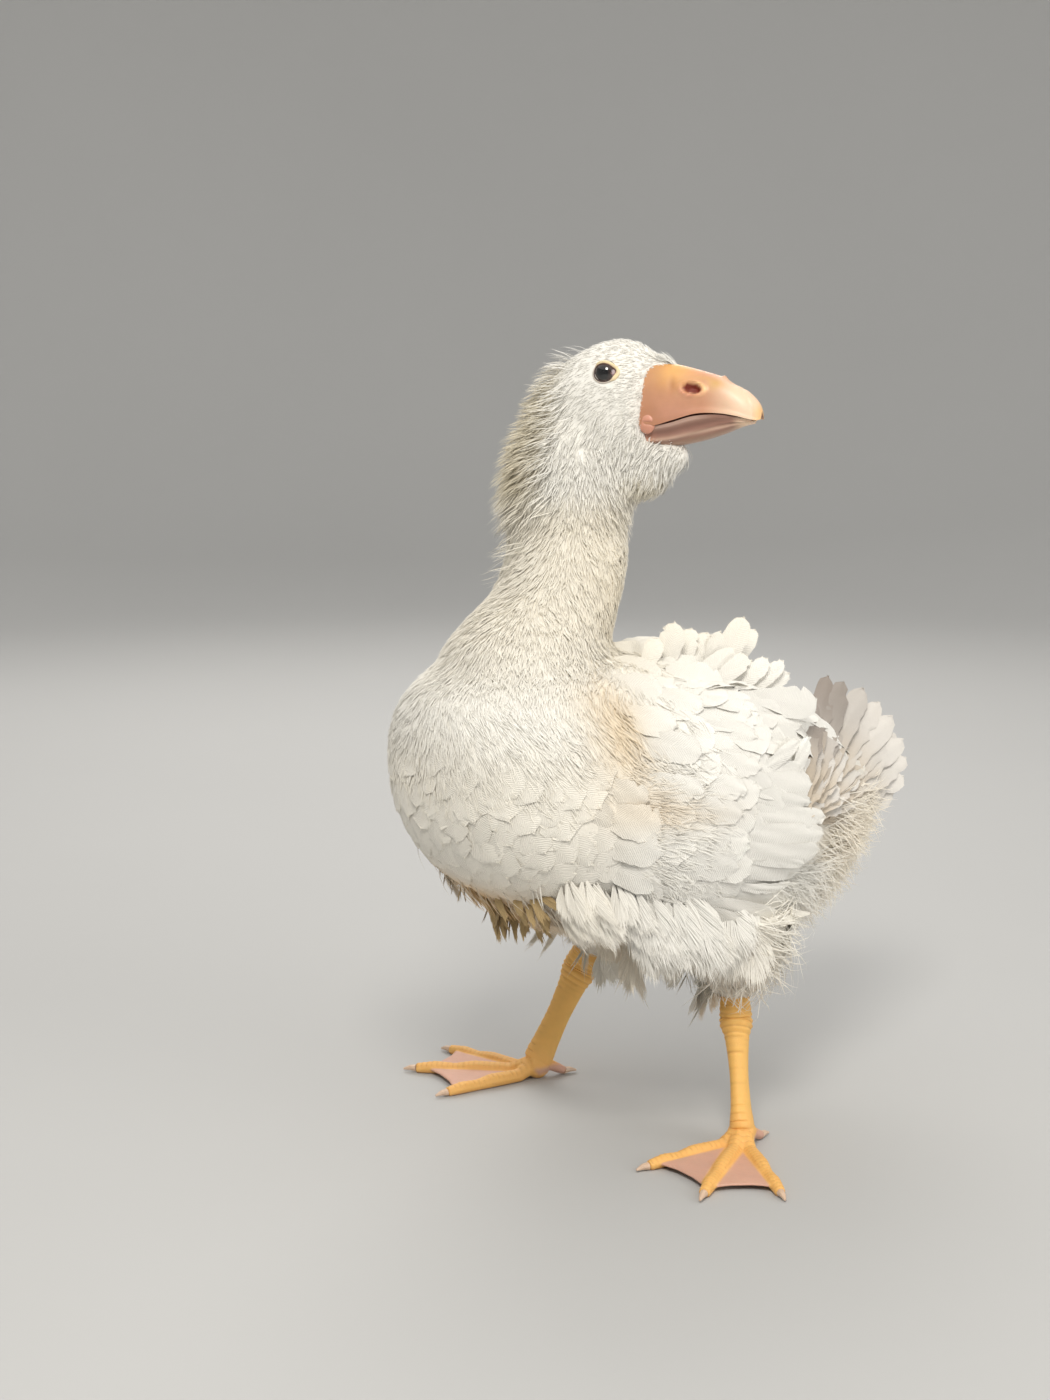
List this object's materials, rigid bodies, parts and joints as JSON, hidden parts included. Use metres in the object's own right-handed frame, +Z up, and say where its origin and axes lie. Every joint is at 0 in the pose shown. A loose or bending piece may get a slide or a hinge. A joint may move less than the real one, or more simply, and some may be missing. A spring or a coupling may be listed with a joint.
{
  "type": "life-size goose model",
  "caption": "Life-size still model of a young white Sebastopol goose with curled feathers, standing with its head turned over its left side.",
  "frame": {"origin": "on the floor, under the middle of the model's bounding box", "axes": "+Z up; the body faces -Y, its left side is +X, and the bill points to the body's left and a little back, along +X and +Y"},
  "size_m": [0.3006, 0.342, 0.4386],
  "materials": {
    "plumage": "soft matt white feathers",
    "bill_upper": "satin orange-pink horn",
    "bill_lower": "satin pink-brown horn",
    "eye": "wet, glossy dark eye",
    "leg_skin": "scaled, matt yellow-orange skin",
    "claw": "satin pale horn"
  },
  "bodies": {
    "root": {"bill_lower": "bill_lower", "bill_upper": "bill_upper", "claw_hind_left": "claw", "claw_hind_right": "claw", "claw_inner_left": "claw", "claw_inner_right": "claw", "claw_middle_left": "claw", "claw_middle_right": "claw", "claw_outer_left": "claw", "claw_outer_right": "claw", "eye_left": "eye", "eye_right": "eye", "foot_left": "leg_skin", "foot_right": "leg_skin", "head": "plumage", "neck": "plumage", "shank_left": "leg_skin", "shank_right": "leg_skin", "tail": "plumage", "thigh_left": "plumage", "thigh_right": "plumage", "torso": "plumage", "wing_left": "plumage", "wing_right": "plumage"}
  },
  "joints": []
}
